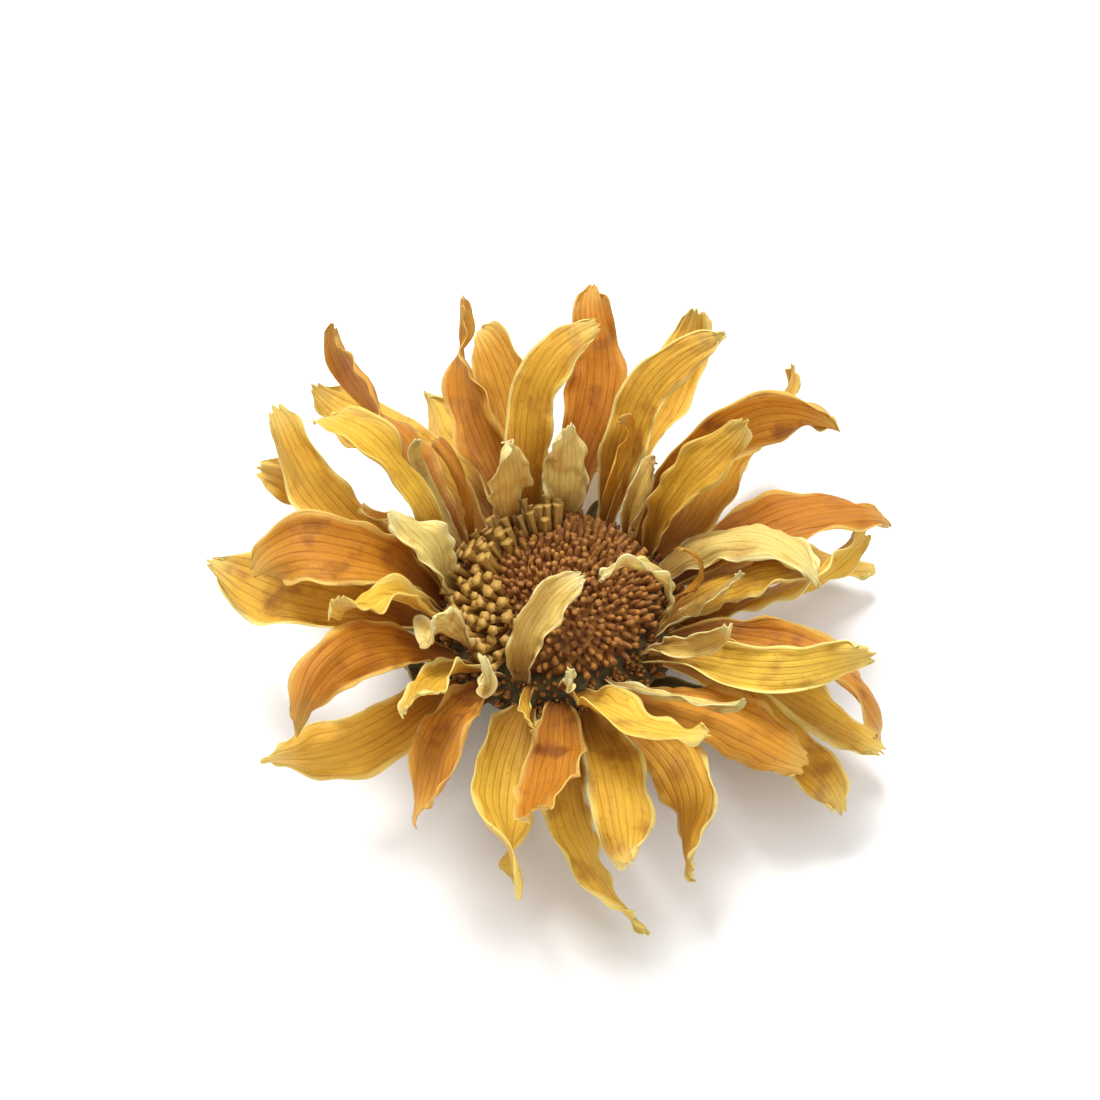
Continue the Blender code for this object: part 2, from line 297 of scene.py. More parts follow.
class Layout:
    """Works out every strap's pose by the same seeded rule as the CAD model."""

    def __init__(self) -> None:
        """Starts with the cup and the disc in place."""
        self.rng = random.Random(SEED)
        self.placed = [BVHTree.FromBMesh(plain_cup()), BVHTree.FromBMesh(plain_disc())]
        self.straps: dict[str, tuple[Slot, Strap]] = {}

    @staticmethod
    def sheet(strap: Strap, extra: float = 0.0) -> bmesh.types.BMesh:
        """Lays out a strap's coarse middle surface.

        Args:
            strap: the strap.
            extra: how much wider it gets on each side.

        Returns:
            The bent sheet.
        """
        bm = bmesh.new()
        bmesh.ops.create_grid(bm, x_segments=strap.rows, y_segments=STRAP_COLUMNS, size=1.0)
        points = spine(strap)
        for vertex in bm.verts:
            along = min(1.0, max(0.0, 0.5 * (vertex.co.x + 1.0)))
            across = vertex.co.y
            _, side, normal = frame_at(strap, along)
            half = 0.5 * strap.width * outline(strap, along) + extra
            bow = strap.roll * math.sin(math.pi * min(1.0, 0.15 + along))
            bow = bow if abs(bow) > 0.01 else 0.01
            offset = side * (half * math.sin(bow * across) / bow)
            offset = offset + normal * (half * (1.0 - math.cos(bow * across)) / bow)
            vertex.co = points[round(along * SPINE_STEPS)] + offset
        return bm

    @staticmethod
    def thickened(bm: bmesh.types.BMesh, thickness: float) -> bmesh.types.BMesh:
        """Gives a sheet a thickness centred on it.

        Args:
            bm: the sheet, which is changed.
            thickness: the thickness.

        Returns:
            The same mesh, closed.
        """
        bm.normal_update()
        shifts = [(vertex, vertex.normal * (0.5 * thickness)) for vertex in bm.verts]
        for vertex, shift in shifts:
            vertex.co += shift
        bmesh.ops.solidify(bm, geom=bm.faces[:], thickness=thickness)
        return bm

    def fits(self, strap: Strap, clearance: float = CLEARANCE) -> bool:
        """Tests a pose.

        Args:
            strap: the strap in that pose.
            clearance: how far it has to keep from every body in place.

        Returns:
            True if the strap stays in its space and keeps clear.
        """
        sheet = self.sheet(strap, clearance)
        for vertex in sheet.verts:
            too_low = vertex.co.z < LOWEST + 0.5 * strap.thickness
            too_far = vertex.co.xy.length > WIDEST_REACH
            if too_low or too_far or vertex.co.z > HIGHEST:
                sheet.free()
                return False
        guard = self.thickened(sheet, strap.thickness + 2.0 * clearance)
        tree = BVHTree.FromBMesh(guard)
        guard.free()
        return not any(tree.overlap(other) for other in self.placed)

    @staticmethod
    def petal_seat(ring: Ring, azimuth: float) -> Vector:
        """Finds where a petal starts, just off the cup's top slope.

        Args:
            ring: the petal's ring.
            azimuth: which side of the cup it is on.

        Returns:
            The seat.
        """
        radius = CUP_RIM_RADIUS + (CUP_TOP_RADIUS - CUP_RIM_RADIUS) * ring.along
        height = CUP_RIM_HEIGHT + (CUP_TOP_HEIGHT - CUP_RIM_HEIGHT) * ring.along
        slope = Vector((CUP_TOP_HEIGHT - CUP_RIM_HEIGHT, CUP_RIM_RADIUS - CUP_TOP_RADIUS)).normalized()
        radius += SEAT * slope.x
        height += SEAT * slope.y
        return Vector((radius * math.cos(azimuth), radius * math.sin(azimuth), height))

    @staticmethod
    def bract_seat(azimuth: float) -> Vector:
        """Finds where a bract starts, just off the outer side of the cup's waist.

        Args:
            azimuth: which side of the cup it is on.

        Returns:
            The seat.
        """
        radius = CUP_WAIST_RADIUS + 0.80 * SEAT
        height = CUP_WAIST_HEIGHT - 0.92 * SEAT
        return Vector((radius * math.cos(azimuth), radius * math.sin(azimuth), height))

    def draw_petal(self, ring: Ring, azimuth: float, wild: float) -> Strap:
        """Draws a pose of one petal.

        Args:
            ring: the petal's ring.
            azimuth: which side of the cup it starts on.
            wild: from 1, a free pose, down to 0, the ring's even pose.

        Returns:
            The petal in that pose.
        """
        rng = self.rng
        back = math.sin(azimuth)
        spread = ring.lean * back
        rise = ring.rise + wild * rng.uniform(-12.0, 12.0)
        arch = ring.arch + wild * rng.uniform(-24.0, 24.0)
        sweep = wild * rng.uniform(-46.0, 46.0)
        return Strap(
            seat=self.petal_seat(ring, azimuth),
            azimuth=azimuth,
            rise=math.radians(rise) + LEAN_BACK * spread,
            arch=math.radians(arch),
            curl=math.radians(rng.uniform(*ring.curl)) * (0.25 + 0.75 * wild),
            sweep=math.radians(sweep) - LEAN_SIDE * spread,
            sway=math.radians(wild * rng.uniform(-34.0, 34.0)),
            ripple=math.radians(wild * rng.uniform(-30.0, 30.0)),
            twist=math.radians(wild * rng.choice((-1.0, 1.0)) * rng.uniform(5.0, 140.0)),
            roll=rng.choice((-1.0, -1.0, 1.0)) * rng.uniform(0.15, 1.65),
            length=rng.uniform(*ring.length) * MM * (0.75 + 0.25 * wild),
            width=rng.uniform(*ring.width) * MM * (0.80 + 0.20 * wild),
            claw=0.3,
            tip=rng.choice((0.16, 0.32, 0.46)),
            thickness=PETAL_THICKNESS,
            rows=PETAL_ROWS,
        )

    def draw_bract(self, ring: Ring, azimuth: float, wild: float) -> Strap:
        """Draws a pose of one bract: it hugs the cup's wall, then turns out, or up on the bare side.

        Args:
            ring: the ring of bracts.
            azimuth: which side of the cup it starts on.
            wild: from 1, a free pose, down to 0, the ring's even pose.

        Returns:
            The bract in that pose.
        """
        rng = self.rng
        bare = max(0.0, math.cos(azimuth - BARE_SIDE)) ** 2
        return Strap(
            seat=self.bract_seat(azimuth),
            azimuth=azimuth,
            rise=math.radians(ring.rise),
            arch=math.radians(ring.arch + wild * rng.uniform(-12.0, 12.0)) + BARE_ARCH * bare,
            curl=math.radians(rng.uniform(*ring.curl)) * wild + BARE_CURL * bare,
            sweep=math.radians(wild * rng.uniform(-24.0, 24.0)),
            sway=math.radians(wild * rng.uniform(-12.0, 12.0)),
            ripple=0.0,
            twist=math.radians(wild * rng.uniform(-30.0, 30.0)),
            roll=-rng.uniform(0.15, 0.6),
            length=rng.uniform(*ring.length) * MM + BARE_LENGTH * bare,
            width=rng.uniform(*ring.width) * MM,
            claw=0.55,
            tip=0.16,
            thickness=BRACT_THICKNESS,
            rows=BRACT_ROWS,
        )

    def posed(self) -> dict[str, Strap]:
        """Sets the three petals that curl over the disc, each with its own fixed pose.

        Returns:
            The petals by node name.
        """
        crown = RINGS[-1]
        even = {"claw": 0.3, "thickness": PETAL_THICKNESS, "rows": PETAL_ROWS}
        across = math.radians(250.0)
        loop = math.radians(342.0)
        folded = math.radians(16.0)
        return {
            "petal_across": Strap(
                self.petal_seat(crown, across), across, math.radians(84.0), math.radians(98.0), 0.0,
                math.radians(-40.0), 0.0, 0.0, math.radians(24.0), 0.9, 10.5 * MM, 3.2 * MM, tip=0.3, **even
            ),
            "petal_loop": Strap(
                self.petal_seat(crown, loop), loop, math.radians(60.0), math.radians(110.0),
                math.radians(100.0), math.radians(40.0), 0.0, 0.0, math.radians(40.0), 0.5, 12.5 * MM,
                1.3 * MM, tip=0.5, **even
            ),
            "petal_folded": Strap(
                self.petal_seat(crown, folded), folded, math.radians(62.0), math.radians(-62.0),
                math.radians(-40.0), math.radians(-80.0), 0.0, 0.0, math.radians(-30.0), 0.7, 17.0 * MM,
                4.4 * MM, tip=0.16, **even
            ),
        }

    def keep(self, name: str, slot: Slot, strap: Strap) -> None:
        """Puts a strap in place.

        Args:
            name: the strap's name.
            slot: its material slot.
            strap: the strap.
        """
        body = self.thickened(self.sheet(strap), strap.thickness)
        self.placed.append(BVHTree.FromBMesh(body))
        body.free()
        self.straps[name] = (slot, strap)

    def place(self, ring: Ring, index: int) -> Strap:
        """Draws poses of a ring's strap, each calmer than the last, until one fits.

        Args:
            ring: the strap's ring.
            index: its place in the ring.

        Returns:
            The first strap that fits.

        Raises:
            ValueError: if none of the poses fits.
        """
        draw = self.draw_bract if ring is BRACT_RING else self.draw_petal
        slot = math.tau / ring.count
        for attempt in range(POSE_TRIES):
            wild = 1.0 - attempt / (POSE_TRIES - 1)
            stray = wild * self.rng.uniform(-0.3, 0.3)
            azimuth = math.radians(ring.phase) + slot * (index + stray)
            strap = draw(ring, azimuth, wild)
            if self.fits(strap):
                return strap
        raise ValueError(f"no pose of {ring.name} {index + 1} fits")

    def run(self) -> dict[str, tuple[Slot, Strap]]:
        """Places every strap that a CAD node stands for.

        Returns:
            The slot and the strap by node name.
        """
        for name, strap in self.posed().items():
            self.keep(name, Slot.STRAW, strap)
        for ring in (BRACT_RING, *RINGS):
            for index in range(ring.count):
                if index not in ring.missing:
                    self.keep(f"{ring.name}_{index + 1:02d}", ring.slot, self.place(ring, index))
        return self.straps

    def wisps(self) -> dict[str, tuple[Slot, Strap]]:
        """Places thin shrivelled petals last, wherever one still fits.

        Returns:
            The slot and the strap by piece name.
        """
        found = {}
        for index in range(WISP_RING.count):
            for _ in range(WISP_TRIES):
                azimuth = math.tau * (index + self.rng.random()) / WISP_RING.count
                strap = self.draw_petal(WISP_RING, azimuth, 1.0)
                if self.fits(strap, WISP_CLEARANCE):
                    self.keep(f"wisp_{index + 1:02d}", WISP_RING.slot, strap)
                    slot = self.rng.choice((Slot.STRAW, Slot.GOLD, Slot.ORANGE))
                    found[f"wisp_{index + 1:02d}"] = (slot, strap)
                    break
        return found


def tint(code: str) -> tuple[float, float, float, float]:
    """Decodes a colour.

    Args:
        code: six-digit sRGB hex code.

    Returns:
        The linear colour with full alpha.
    """
    parts = [int(code[k : k + 2], 16) / 255.0 for k in (0, 2, 4)]
    linear = [p / 12.92 if p <= 0.04045 else ((p + 0.055) / 1.055) ** 2.4 for p in parts]
    return (linear[0], linear[1], linear[2], 1.0)


class Nodes:
    """A small builder of shader node trees."""

    def __init__(self, name: str) -> None:
        """Starts a material with one Principled shader.

        Args:
            name: the material's name.
        """
        self.material = bpy.data.materials.new(name)
        self.material.use_nodes = True
        self.tree = self.material.node_tree
        self.shader = self.tree.nodes["Principled BSDF"]

    def add(self, kind: str, **settings: object) -> bpy.types.Node:
        """Adds a node.

        Args:
            kind: the node's type.
            **settings: its properties.

        Returns:
            The node.
        """
        node = self.tree.nodes.new(kind)
        for key, value in settings.items():
            setattr(node, key, value)
        return node

    def feed(self, socket: bpy.types.NodeSocket, value: object) -> None:
        """Links a socket into another, or sets its value.

        Args:
            socket: the input.
            value: a socket or a plain value.
        """
        if isinstance(value, bpy.types.NodeSocket):
            self.tree.links.new(value, socket)
        else:
            socket.default_value = value

    def math(self, operation: str, first: object, second: object = 0.0) -> bpy.types.NodeSocket:
        """Adds a maths operation.

        Args:
            operation: its name.
            first: a socket or a number.
            second: a socket or a number.

        Returns:
            The result.
        """
        node = self.add("ShaderNodeMath", operation=operation)
        self.feed(node.inputs[0], first)
        self.feed(node.inputs[1], second)
        return node.outputs[0]

    def ramp(self, value: object, low: float, high: float) -> bpy.types.NodeSocket:
        """Adds a smooth step.

        Args:
            value: a socket or a number.
            low: where the step is 0.
            high: where the step is 1.

        Returns:
            The step.
        """
        node = self.add("ShaderNodeMapRange", interpolation_type="SMOOTHSTEP")
        self.feed(node.inputs["Value"], value)
        node.inputs["From Min"].default_value = low
        node.inputs["From Max"].default_value = high
        return node.outputs["Result"]

    def mix(self, share: object, first: object, second: object) -> bpy.types.NodeSocket:
        """Blends two colours.

        Args:
            share: how much of the second one shows.
            first: a socket or a colour.
            second: a socket or a colour.

        Returns:
            The blend.
        """
        node = self.add("ShaderNodeMix", data_type="RGBA")
        self.feed(node.inputs[0], share)
        self.feed(node.inputs[6], first)
        self.feed(node.inputs[7], second)
        return node.outputs[2]

    def noise(self, vector: object, scale: float, detail: float = 3.0) -> bpy.types.NodeSocket:
        """Adds a noise texture.

        Args:
            vector: where it is sampled.
            scale: its scale.
            detail: how many finer levels it has.

        Returns:
            Its value.
        """
        node = self.add("ShaderNodeTexNoise")
        self.feed(node.inputs["Vector"], vector)
        node.inputs["Scale"].default_value = scale
        node.inputs["Detail"].default_value = detail
        return node.outputs["Fac"]

    def stretched(self, vector: object, scale: tuple[float, float, float]) -> bpy.types.NodeSocket:
        """Scales a vector by a different amount along each axis.

        Args:
            vector: the vector socket.
            scale: the three factors.

        Returns:
            The scaled vector.
        """
        node = self.add("ShaderNodeVectorMath", operation="MULTIPLY")
        self.feed(node.inputs[0], vector)
        node.inputs[1].default_value = scale
        return node.outputs["Vector"]

    def bump(
        self, height: object, depth: float, strength: float, under: object = None
    ) -> bpy.types.NodeSocket:
        """Bumps the surface.

        Args:
            height: the height field.
            depth: its full height in metres.
            strength: how much of it shows.
            under: another bumped normal that it goes over, if any.

        Returns:
            The bumped normal.
        """
        node = self.add("ShaderNodeBump")
        node.inputs["Distance"].default_value = depth
        node.inputs["Strength"].default_value = strength
        self.feed(node.inputs["Height"], height)
        if under is not None:
            self.feed(node.inputs["Normal"], under)
        return node.outputs["Normal"]


@dataclass(frozen=True)
class PetalFinish:
    """A dry petal: veined along its length, paler at the edges, browner at the claw. On the petals the pale
    edge is a painted highlight, light shining through their thin rims; on the bracts it is their own pale
    margin.
    """

    slot: Slot
    body: str
    bright: str
    claw: str
    vein: str
    # edge: the pale rim colour, a painted highlight on petals and the real pale margin on bracts
    edge: str
    veins: float = 8.0

    def build(self) -> bpy.types.Material:
        """Builds the petal material.

        Returns:
            The material.
        """
        n = Nodes(self.slot.value)
        uv = n.add("ShaderNodeUVMap", uv_map="UVMap").outputs["UV"]
        split = n.add("ShaderNodeSeparateXYZ")
        n.feed(split.inputs[0], uv)
        along, across = split.outputs[0], split.outputs[1]
        shade = n.add("ShaderNodeAttribute", attribute_name="Tint")
        parts = n.add("ShaderNodeSeparateColor")
        n.feed(parts.inputs[0], shade.outputs["Color"])
        place = n.add("ShaderNodeTexCoord").outputs["Object"]
        fibre = n.noise(n.stretched(uv, (5.0, 46.0, 1.0)), 1.0, 4.0)
        drift = n.math("MULTIPLY", n.noise(n.stretched(uv, (3.0, 4.0, 1.0)), 1.0, 1.0), 2.4)
        phase = n.math("ADD", n.math("MULTIPLY", across, math.tau * self.veins), drift)
        wave = n.math("POWER", n.math("ABSOLUTE", n.math("SINE", n.math("MULTIPLY", phase, 0.5))), 12.0)
        streak = n.noise(n.stretched(uv, (7.0, 120.0, 1.0)), 1.0, 3.0)
        # Painted highlight: this pale rim mask, scaled by the Tint's second channel, stands for light
        # shining through thin petal edges; on bracts it is their real pale margin
        rim = n.math("ABSOLUTE", n.math("SUBTRACT", n.math("MULTIPLY", across, 2.0), 1.0))
        edge = n.ramp(n.math("ADD", rim, n.math("MULTIPLY", fibre, 0.18)), 0.86, 1.10)
        blotch = n.ramp(n.noise(place, 420.0, 3.0), 0.50, 0.72)
        speck = n.ramp(n.noise(place, 2600.0, 2.0), 0.62, 0.78)
        colour = n.mix(parts.outputs[0], tint(self.body), tint(self.bright))
        colour = n.mix(n.math("MULTIPLY", n.ramp(fibre, 0.35, 0.70), 0.45), colour, tint(self.bright))
        foot = n.ramp(n.math("SUBTRACT", 1.0, along), 0.50, 0.95)
        colour = n.mix(n.math("MULTIPLY", foot, 0.80), colour, tint(self.claw))
        colour = n.mix(n.math("MULTIPLY", wave, 0.26), colour, tint(self.vein))
        colour = n.mix(n.math("MULTIPLY", n.ramp(streak, 0.50, 0.72), 0.50), colour, tint(self.vein))
        colour = n.mix(n.math("MULTIPLY", blotch, parts.outputs[2]), colour, tint(self.vein))
        # Paint the pale rim: a painted highlight on petals, the real pale margin on bracts
        colour = n.mix(n.math("MULTIPLY", edge, parts.outputs[1]), colour, tint(self.edge))
        colour = n.mix(n.math("MULTIPLY", n.ramp(along, 0.80, 1.02), 0.55), colour, tint(self.edge))
        colour = n.mix(n.math("MULTIPLY", speck, 0.30), colour, tint(self.claw))
        n.feed(n.shader.inputs["Base Color"], colour)
        n.feed(n.shader.inputs["Roughness"], n.math("ADD", 0.44, n.math("MULTIPLY", fibre, 0.28)))
        n.shader.inputs["Subsurface Weight"].default_value = 0.30
        n.shader.inputs["Subsurface Radius"].default_value = (1.0, 0.55, 0.12)
        n.shader.inputs["Subsurface Scale"].default_value = 0.5 * MM
        n.shader.inputs["Specular IOR Level"].default_value = 0.40
        ridge = n.bump(n.math("SUBTRACT", streak, wave), 0.12 * MM, 0.60)
        crinkle = n.noise(n.stretched(uv, (26.0, 9.0, 1.0)), 1.0, 3.0)
        n.feed(n.shader.inputs["Normal"], n.bump(crinkle, 0.15 * MM, 0.45, ridge))
        return n.material


@dataclass(frozen=True)
class CrustFinish:
    """A dry rough surface whose colour runs from a base to a tip along V, broken by noise."""

    slot: Slot
    base: str
    middle: str
    tip: str
    grain: float
    roughness: float = 0.75

    def build(self) -> bpy.types.Material:
        """Builds the crust material.

        Returns:
            The material.
        """
        n = Nodes(self.slot.value)
        uv = n.add("ShaderNodeUVMap", uv_map="UVMap").outputs["UV"]
        split = n.add("ShaderNodeSeparateXYZ")
        n.feed(split.inputs[0], uv)
        shade = n.add("ShaderNodeAttribute", attribute_name="Tint")
        parts = n.add("ShaderNodeSeparateColor")
        n.feed(parts.inputs[0], shade.outputs["Color"])
        place = n.add("ShaderNodeTexCoord").outputs["Object"]
        coarse = n.noise(place, self.grain, 4.0)
        fine = n.noise(place, self.grain * 4.0, 3.0)
        colour = n.mix(n.ramp(coarse, 0.35, 0.65), tint(self.base), tint(self.middle))
        # Towards the tip colour up V by the Tint's first channel: on the disc florets the tan tip is a
        # painted highlight on the grains' tops; on the cup it gives a browner top
        rise = n.math("MULTIPLY", n.ramp(split.outputs[1], 0.30, 0.95), parts.outputs[0])
        colour = n.mix(rise, colour, tint(self.tip))
        colour = n.mix(n.math("MULTIPLY", n.ramp(fine, 0.55, 0.75), 0.5), colour, tint(self.base))
        n.feed(n.shader.inputs["Base Color"], colour)
        rough = n.math("ADD", self.roughness - 0.1, n.math("MULTIPLY", fine, 0.2))
        n.feed(n.shader.inputs["Roughness"], rough)
        n.feed(n.shader.inputs["Normal"], n.bump(fine, 0.10 * MM, 0.6, n.bump(coarse, 0.2 * MM, 0.4)))
        return n.material


class Palette:
    """Every finish of the head, built once."""

    def __init__(self) -> None:
        """Builds the materials by slot."""
        finishes = (
            # The fifth colour of each of these finishes is the pale rim: a painted highlight on the petals,
            # the real pale margin on the bracts
            PetalFinish(Slot.GOLD, "bc860f", "e2b83c", "7a440a", "8c560c", "ead480"),
            PetalFinish(Slot.ORANGE, "ae6c0a", "d2941e", "683608", "784008", "dcb860"),
            PetalFinish(Slot.STRAW, "c89c3c", "e8d07c", "8c5c18", "a0742a", "f2e6ac"),
            PetalFinish(Slot.BRACT, "5c5630", "7a7446", "403418", "42381c", "b8b07c", 3.0),
            # The disc's tip colour is a painted highlight on the florets' tops
            CrustFinish(Slot.DISC, "7c4818", "b07830", "e6bc74", 1500.0),
            CrustFinish(Slot.CUP, "46371a", "6c5e30", "5c3412", 900.0, 0.8),
        )
        self.by_slot = {finish.slot: finish.build() for finish in finishes}


class Builder:
    """Turns finished meshes into pieces that ride on the root body."""

    def __init__(self, palette: Palette) -> None:
        """Keeps the palette and counts the pieces.

        Args:
            palette: the finishes by slot.
        """
        self.palette = palette
        self.count = 0

    def piece(
        self,
        name: str,
        bm: bmesh.types.BMesh,
        slot: Slot,
        nodes: tuple[str, ...],
        shade: tuple[float, float, float] | None = None,
    ) -> bpy.types.Object:
        """Makes one piece of the head.

        Args:
            name: the piece's name.
            bm: its finished mesh, which is freed.
            slot: the material slot it takes its finish from.
            nodes: the CAD nodes that it stands for.
            shade: its Tint, where the mesh doesn't carry one.

        Returns:
            The new object.
        """
        bmesh.ops.recalc_face_normals(bm, faces=bm.faces[:])
        mesh = bpy.data.meshes.new(name)
        bm.to_mesh(mesh)
        bm.free()
        mesh.materials.append(self.palette.by_slot[slot])
        mesh.shade_smooth()
        if shade is not None:
            layer = mesh.color_attributes.new("Tint", "FLOAT_COLOR", "POINT")
            for item in layer.data:
                item.color = (*shade, 1.0)
        thing = bpy.data.objects.new(name, mesh)
        bpy.context.collection.objects.link(thing)
        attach(thing, "root")
        if nodes:
            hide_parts(*nodes)
        self.count += 1
        LOG.info("%s: %d faces", name, len(mesh.polygons))
        return thing


@dataclass(frozen=True)
class StrapDetail:
    """How finely a strap is modelled and how much it is crumpled."""

    columns: int = 16
    thickness: float = 0.09 * MM
    ridge: float = 0.035 * MM
    ripple: float = 0.52 * MM
    wander: float = 0.20 * MM
    teeth: float = 0.055
    veins: int = 5


class StrapPiece:
    """One finely modelled petal or bract along its CAD spine."""

    def __init__(self, name: str, slot: Slot, strap: Strap, detail: StrapDetail) -> None:
        """Keeps the strap and a random source of its own.

        Args:
            name: the piece's name, which also seeds its random source.
            slot: its material slot.
            strap: the strap that it follows.
            detail: how finely it is modelled.
        """
        self.name = name
        self.slot = slot
        self.strap = strap
        self.detail = detail
        self.rng = random.Random(name)
        self.offset = Vector((self.rng.uniform(0, 90), self.rng.uniform(0, 90), self.rng.uniform(0, 90)))

    def wave(self, along: float, across: float, rate: float, lane: float) -> float:
        """Gives a smooth random value over the strap.

        Args:
            along: fraction of the length.
            across: from -1 to 1 over the width.
            rate: how fast the value changes.
            lane: which of the strap's independent values it is.

        Returns:
            The value, from about -1 to 1.
        """
        point = Vector((along * rate, across * rate * 0.35, lane)) + self.offset
        return noise.noise(point) * 1.8

    def shaped(self, along: float, across: float, points: list[Vector]) -> Vector:
        """Where a point of the flat strap ends up.

        Args:
            along: fraction of the length, from claw to tip.
            across: from -1 to 1 over the width.
            points: the strap's spine.

        Returns:
            The point in the row frame.
        """
        strap, detail = self.strap, self.detail
        _, side, normal = frame_at(strap, along)
        edge = abs(across)
        half = 0.5 * strap.width * outline(strap, along)
        half *= 1.0 + 0.16 * self.wave(along, math.copysign(1.0, across), 7.0, 3.0) * edge
        bow = strap.roll * math.sin(math.pi * min(1.0, 0.15 + along))
        bow += (0.9 * self.wave(along, math.copysign(1.0, across), 3.0, 9.0) + 0.5) * along
        bow = bow if abs(bow) > 0.01 else 0.01
        loose = min(1.0, along * 3.0)
        lift = detail.ridge * math.cos(math.tau * detail.veins * 0.5 * across) * loose
        lift += detail.ripple * self.wave(along, across, 9.0, 17.0) * edge**2 * loose
        lift += detail.wander * self.wave(along, across, 4.0, 31.0) * loose
        offset = side * (half * math.sin(bow * across) / bow)
        offset += normal * (half * (1.0 - math.cos(bow * across)) / bow + lift)
        return points[round(along * SPINE_STEPS)] + offset

    def build(self, builder: Builder, nodes: tuple[str, ...]) -> None:
        """Builds the piece with a toothed tip, ridges and a crumpled edge.

        Args:
            builder: what makes the piece.
            nodes: the CAD nodes that it stands for.
        """
        strap, detail = self.strap, self.detail
        bm = bmesh.new()
        bm.loops.layers.uv.new("UVMap")
        bmesh.ops.create_grid(
            bm, x_segments=SPINE_STEPS, y_segments=detail.columns, size=1.0, calc_uvs=True
        )
        points = spine(strap)
        points += [points[-1] + (points[-1] - points[-2])]
        for vertex in bm.verts:
            along = min(1.0, max(0.0, 0.5 * (vertex.co.x + 1.0)))
            across = max(-1.0, min(1.0, vertex.co.y))
            place = self.shaped(along, across, points)
            if along > 0.85:
                forward = frame_at(strap, along)[0]
                tooth = 0.5 - 0.5 * math.cos(3.0 * math.pi * (across + 1.0))
                rounding = across**2 * 0.6 + 0.5 * (1.0 - tooth)
                reach = ((along - 0.85) / 0.15) ** 2
                place -= forward * strap.length * detail.teeth * rounding * reach
            vertex.co = place
        rng = self.rng
        # Tint: share of the brighter tone, strength of the pale rim (painted highlight on petals, real pale
        # margin on bracts), share of blotches
        shade = (rng.random() ** 1.3, rng.uniform(0.35, 0.95), rng.uniform(0.1, 0.9))
        thing = builder.piece(self.name, bm, self.slot, nodes, shade)
        solid = thing.modifiers.new("thickness", "SOLIDIFY")
        solid.thickness = detail.thickness
        solid.offset = 0.0
        solid.use_even_offset = False


@dataclass(frozen=True)
class FloretSize:
    """Sizes of the disc's florets."""

    count: int = 460
    length: float = 1.45 * MM
    radius: float = 0.235 * MM
    open_length: float = 2.5 * MM
    open_radius: float = 0.27 * MM
    stubs: int = 640


